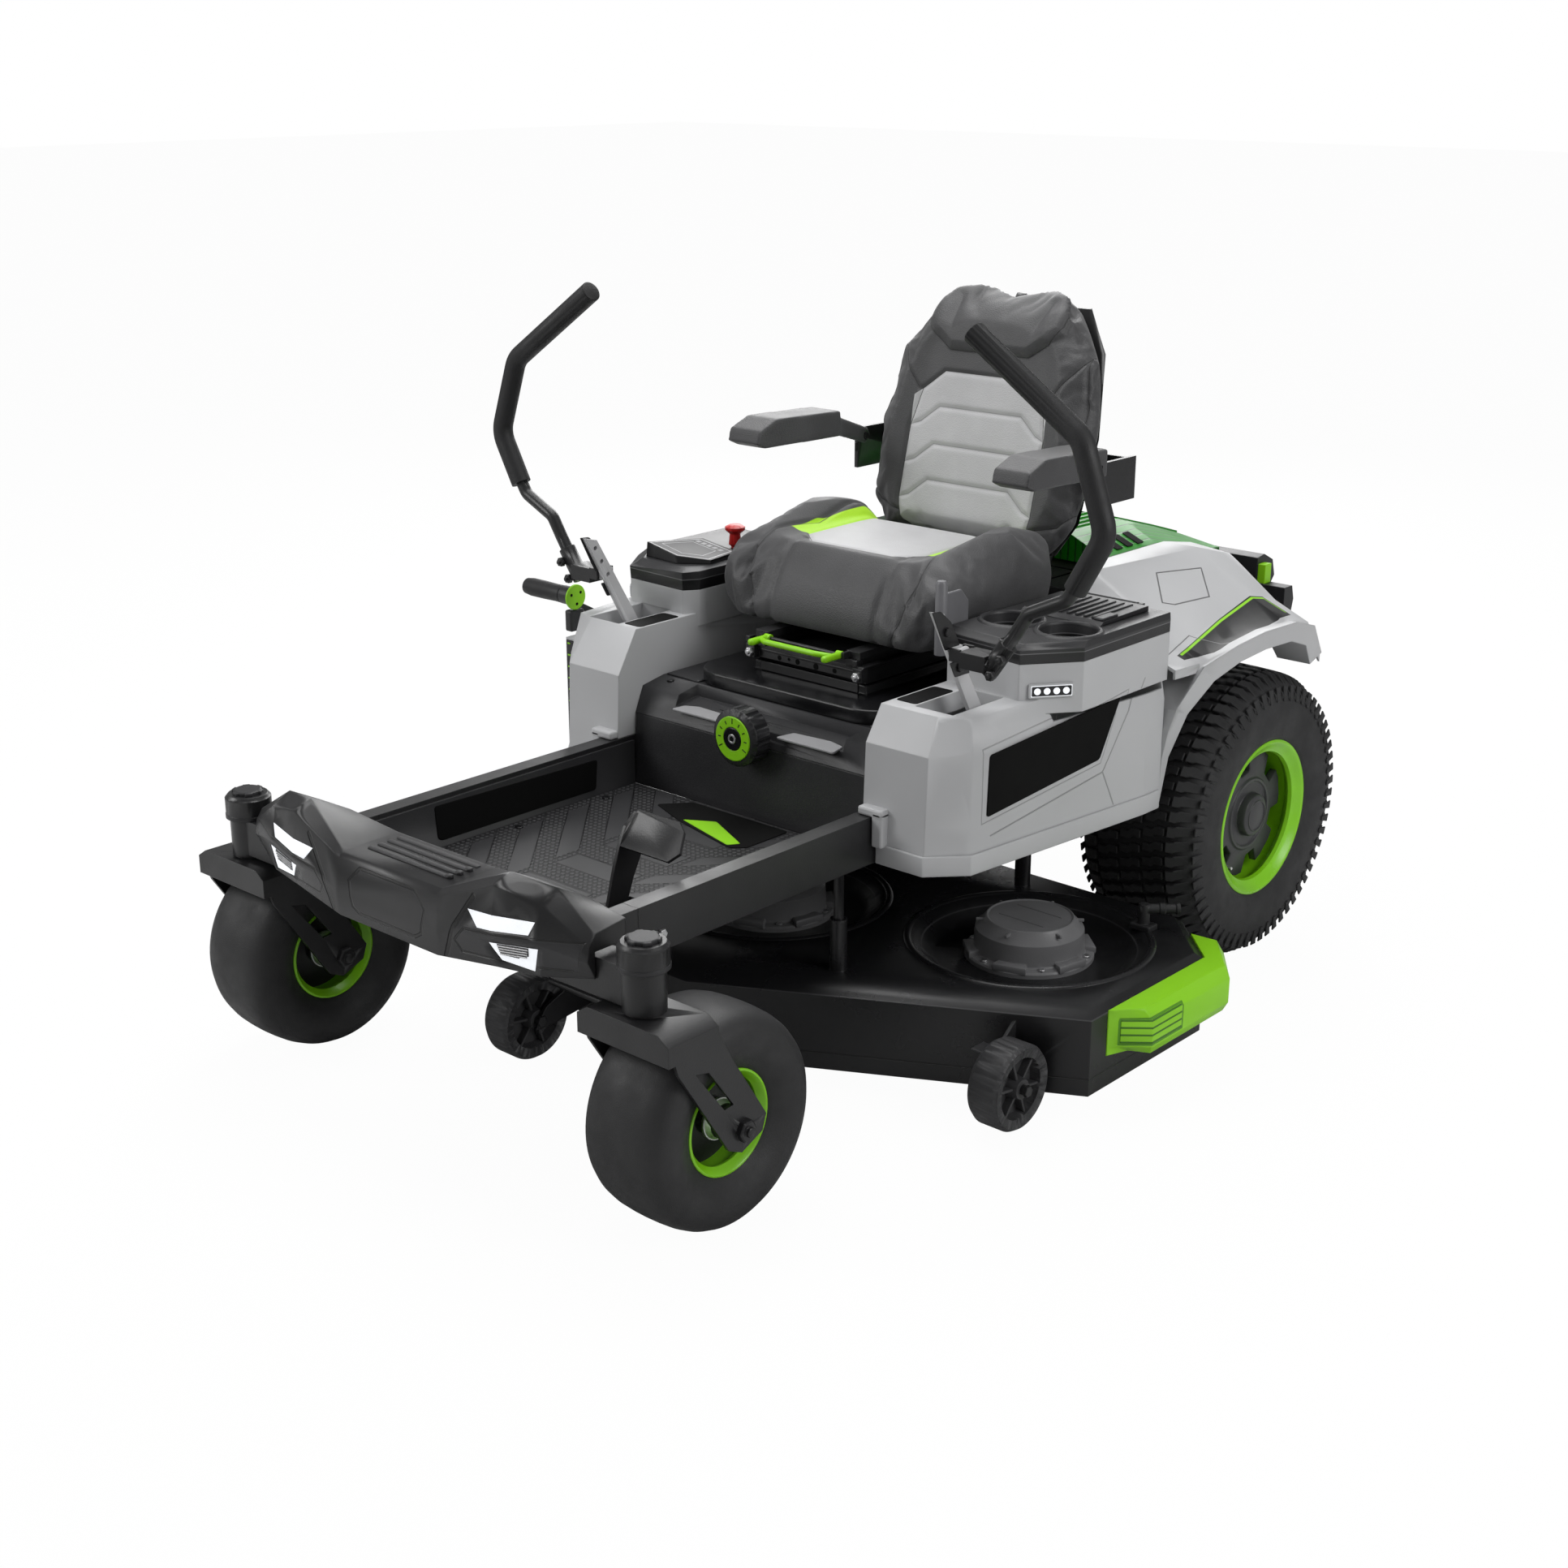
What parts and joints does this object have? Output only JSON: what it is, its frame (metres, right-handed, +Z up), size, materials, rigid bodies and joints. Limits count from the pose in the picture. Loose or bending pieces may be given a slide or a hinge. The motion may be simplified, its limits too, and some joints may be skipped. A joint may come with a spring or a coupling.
{
  "type": "zero turn mower",
  "caption": "Ride-on zero turn mower with sprung seat, lap bars, swivelling front casters, floating side-discharge deck and a hinged rear lid over its battery packs.",
  "frame": {"origin": "on the ground, under the middle of the bounding box", "axes": "+Z up; the machine faces -Y; +X is the seated operator's left"},
  "size_m": [1.5, 1.93, 1.199],
  "materials": {
    "frame_steel": "black textured powder coat",
    "deck_steel": "satin black paint",
    "body_plastic": "light grey moulded plastic",
    "trim_plastic": "charcoal moulded plastic",
    "lime_plastic": "lime green",
    "lime_paint": "lime green gloss paint",
    "tyre_rubber": "black rubber",
    "roller_plastic": "black",
    "seat_vinyl": "charcoal grained vinyl with light grey panels",
    "grip_foam": "closed-cell foam",
    "bare_steel": "plated steel",
    "cast_metal": "cast",
    "lamp_lens": "clear lens",
    "green_lid": "translucent dark green",
    "battery_case": "black",
    "mat_rubber": "ribbed rubber",
    "red_plastic": "red",
    "display_plastic": "gloss black"
  },
  "bodies": {
    "chassis": {"main_frame": "frame_steel", "front_beam": "frame_steel", "drive_motors": "cast_metal", "front_bumper": "trim_plastic", "lamp_lenses": "lamp_lens", "foot_platform": "frame_steel", "floor_mat": "mat_rubber", "seat_box": "trim_plastic", "seat_box_cover": "trim_plastic", "suspension_base": "display_plastic", "body_pod_left": "body_plastic", "body_pod_right": "body_plastic", "cup_holder_tray": "trim_plastic", "control_console": "trim_plastic", "control_display": "display_plastic", "fender_left": "body_plastic", "fender_right": "body_plastic", "tail_panel": "trim_plastic", "battery_packs": "battery_case"},
    "deck": {"deck_shell": "deck_steel", "deck_motors": "cast_metal", "deck_side_guard": "lime_plastic"},
    "seat": {"seat_pan": "frame_steel", "seat_cushion": "seat_vinyl", "seat_back_cushion": "seat_vinyl", "seat_back_shell": "frame_steel"},
    "seat_carriage": {"suspension_carriage": "frame_steel"},
    "slide_bar": {"seat_slide_bar": "lime_plastic"},
    "weight_knob": {"suspension_knob": "trim_plastic"},
    "lift_pedal": {"deck_lift_pedal": "frame_steel"},
    "blade_switch": {"blade_switch_knob": "red_plastic"},
    "tray_lid": {"storage_lid": "trim_plastic"},
    "rear_lid": {"battery_lid": "green_lid"},
    "cut_height_lever": {"height_lever": "trim_plastic"},
    "lever_button": {"height_button": "lime_plastic"},
    "chute": {"discharge_chute": "roller_plastic"},
    "nose_roller": {"scalp_roller_nose": "roller_plastic"},
    "cutter_centre": {"blade_centre": "bare_steel"},
    "caster_left": {"caster_fork_left": "frame_steel"},
    "front_wheel_left": {"front_tyre_left": "tyre_rubber", "front_rim_left": "lime_paint"},
    "rear_wheel_left": {"rear_tyre_left": "tyre_rubber", "rear_rim_left": "lime_paint"},
    "drive_lever_left": {"lap_lever_left": "bare_steel"},
    "lap_bar_left": {"lap_bar_left": "frame_steel", "lap_grip_left": "grip_foam"},
    "armrest_left": {"armrest_left": "seat_vinyl"},
    "roller_left": {"scalp_roller_left": "roller_plastic"},
    "cutter_left": {"blade_left": "bare_steel"},
    "caster_right": {"caster_fork_right": "frame_steel"},
    "front_wheel_right": {"front_tyre_right": "tyre_rubber", "front_rim_right": "lime_paint"},
    "rear_wheel_right": {"rear_tyre_right": "tyre_rubber", "rear_rim_right": "lime_paint"},
    "drive_lever_right": {"lap_lever_right": "bare_steel"},
    "lap_bar_right": {"lap_bar_right": "frame_steel", "lap_grip_right": "grip_foam"},
    "armrest_right": {"armrest_right": "seat_vinyl"},
    "roller_right": {"scalp_roller_right": "roller_plastic"},
    "cutter_right": {"blade_right": "bare_steel"}
  },
  "joints": [
    {"name": "caster_left_swivel", "type": "hinge", "parent": "chassis", "child": "caster_left", "pos_m": [0.45, -0.883, 0.4], "axis": [0, 0, 1], "continuous": true},
    {"name": "front_wheel_left_spin", "type": "hinge", "parent": "caster_left", "child": "front_wheel_left", "pos_m": [0.45, -0.783, 0.165], "axis": [1, 0, 0], "continuous": true},
    {"name": "rear_wheel_left_spin", "type": "hinge", "parent": "chassis", "child": "rear_wheel_left", "pos_m": [0.439, 0.578, 0.264], "axis": [1, 0, 0], "continuous": true},
    {"name": "drive_lever_left_swing", "type": "hinge", "parent": "chassis", "child": "drive_lever_left", "pos_m": [0.388, -0.021, 0.47], "axis": [1, 0, 0], "range_deg": [-10, 10]},
    {"name": "lap_bar_left_open", "type": "hinge", "parent": "drive_lever_left", "child": "lap_bar_left", "pos_m": [0.404, -0.141, 0.692], "axis": [0, 1, 0], "range_deg": [0, 30]},
    {"name": "armrest_left_flip", "type": "hinge", "parent": "seat", "child": "armrest_left", "pos_m": [0.267, 0.424, 0.88], "axis": [-1, 0, 0], "range_deg": [0, 90]},
    {"name": "roller_left_spin", "type": "hinge", "parent": "deck", "child": "roller_left", "pos_m": [0.628, -0.288, 0.08], "axis": [1, 0, 0], "continuous": true},
    {"name": "cutter_left_spin", "type": "hinge", "parent": "deck", "child": "cutter_left", "pos_m": [0.448, 0.01, 0.1], "axis": [0, 0, 1], "continuous": true},
    {"name": "caster_right_swivel", "type": "hinge", "parent": "chassis", "child": "caster_right", "pos_m": [-0.45, -0.883, 0.4], "axis": [0, 0, 1], "continuous": true},
    {"name": "front_wheel_right_spin", "type": "hinge", "parent": "caster_right", "child": "front_wheel_right", "pos_m": [-0.45, -0.783, 0.165], "axis": [1, 0, 0], "continuous": true},
    {"name": "rear_wheel_right_spin", "type": "hinge", "parent": "chassis", "child": "rear_wheel_right", "pos_m": [-0.439, 0.578, 0.264], "axis": [1, 0, 0], "continuous": true},
    {"name": "drive_lever_right_swing", "type": "hinge", "parent": "chassis", "child": "drive_lever_right", "pos_m": [-0.388, -0.021, 0.47], "axis": [1, 0, 0], "range_deg": [-10, 10]},
    {"name": "lap_bar_right_open", "type": "hinge", "parent": "drive_lever_right", "child": "lap_bar_right", "pos_m": [-0.404, -0.141, 0.692], "axis": [0, -1, 0], "range_deg": [0, 30]},
    {"name": "armrest_right_flip", "type": "hinge", "parent": "seat", "child": "armrest_right", "pos_m": [-0.267, 0.424, 0.88], "axis": [-1, 0, 0], "range_deg": [0, 90]},
    {"name": "roller_right_spin", "type": "hinge", "parent": "deck", "child": "roller_right", "pos_m": [-0.628, -0.288, 0.08], "axis": [1, 0, 0], "continuous": true},
    {"name": "cutter_right_spin", "type": "hinge", "parent": "deck", "child": "cutter_right", "pos_m": [-0.448, 0.01, 0.1], "axis": [0, 0, 1], "continuous": true},
    {"name": "deck_lift", "type": "slide", "parent": "chassis", "child": "deck", "axis": [0, 0, 1], "range_m": [0, 0.076]},
    {"name": "lift_pedal_push", "type": "hinge", "parent": "chassis", "child": "lift_pedal", "pos_m": [0.13, -0.63, 0.319], "axis": [1, 0, 0], "range_deg": [0, 35]},
    {"name": "cutter_centre_spin", "type": "hinge", "parent": "deck", "child": "cutter_centre", "pos_m": [0, -0.13, 0.1], "axis": [0, 0, 1], "continuous": true},
    {"name": "nose_roller_spin", "type": "hinge", "parent": "deck", "child": "nose_roller", "pos_m": [-0.108, -0.614, 0.08], "axis": [1, 0, 0], "continuous": true},
    {"name": "chute_lift", "type": "hinge", "parent": "deck", "child": "chute", "pos_m": [-0.705, -0.01, 0.16], "axis": [0, 1, 0], "range_deg": [0, 80]},
    {"name": "seat_suspension", "type": "slide", "parent": "chassis", "child": "seat_carriage", "axis": [0, 0, 1], "range_m": [-0.024, 0], "stiffness_N_per_m": 9000, "springref_m": 0.09},
    {"name": "seat_slide", "type": "slide", "parent": "seat_carriage", "child": "seat", "axis": [0, 1, 0], "range_m": [-0.08, 0]},
    {"name": "slide_bar_lift", "type": "hinge", "parent": "seat", "child": "slide_bar", "pos_m": [0, -0.053, 0.6115], "axis": [-1, 0, 0], "range_deg": [0, 10], "stiffness_Nm_per_rad": 0.6, "springref_deg": -28.65},
    {"name": "weight_knob_turn", "type": "hinge", "parent": "chassis", "child": "weight_knob", "pos_m": [0, -0.209, 0.487], "axis": [0, 1, 0], "range_deg": [-150, 150]},
    {"name": "blade_switch_pull", "type": "slide", "parent": "chassis", "child": "blade_switch", "axis": [0, 0, 1], "range_m": [0, 0.012]},
    {"name": "tray_lid_open", "type": "hinge", "parent": "chassis", "child": "tray_lid", "pos_m": [0.392, 0.288, 0.696], "axis": [-1, 0, 0], "range_deg": [0, 80]},
    {"name": "rear_lid_open", "type": "hinge", "parent": "chassis", "child": "rear_lid", "pos_m": [0, 0.8975, 0.662], "axis": [-1, 0, 0], "range_deg": [0, 60]},
    {"name": "cut_height_swing", "type": "hinge", "parent": "chassis", "child": "cut_height_lever", "pos_m": [-0.516, 0.12, 0.47], "axis": [1, 0, 0], "range_deg": [0, 40]},
    {"name": "lever_button_press", "type": "slide", "parent": "cut_height_lever", "child": "lever_button", "axis": [-1, 0, 0], "range_m": [0, 0.003], "stiffness_N_per_m": 400}
  ],
  "couplings": [
    {"joint": "lift_pedal_push", "follows": "deck_lift", "rad_per_m": 8}
  ]
}
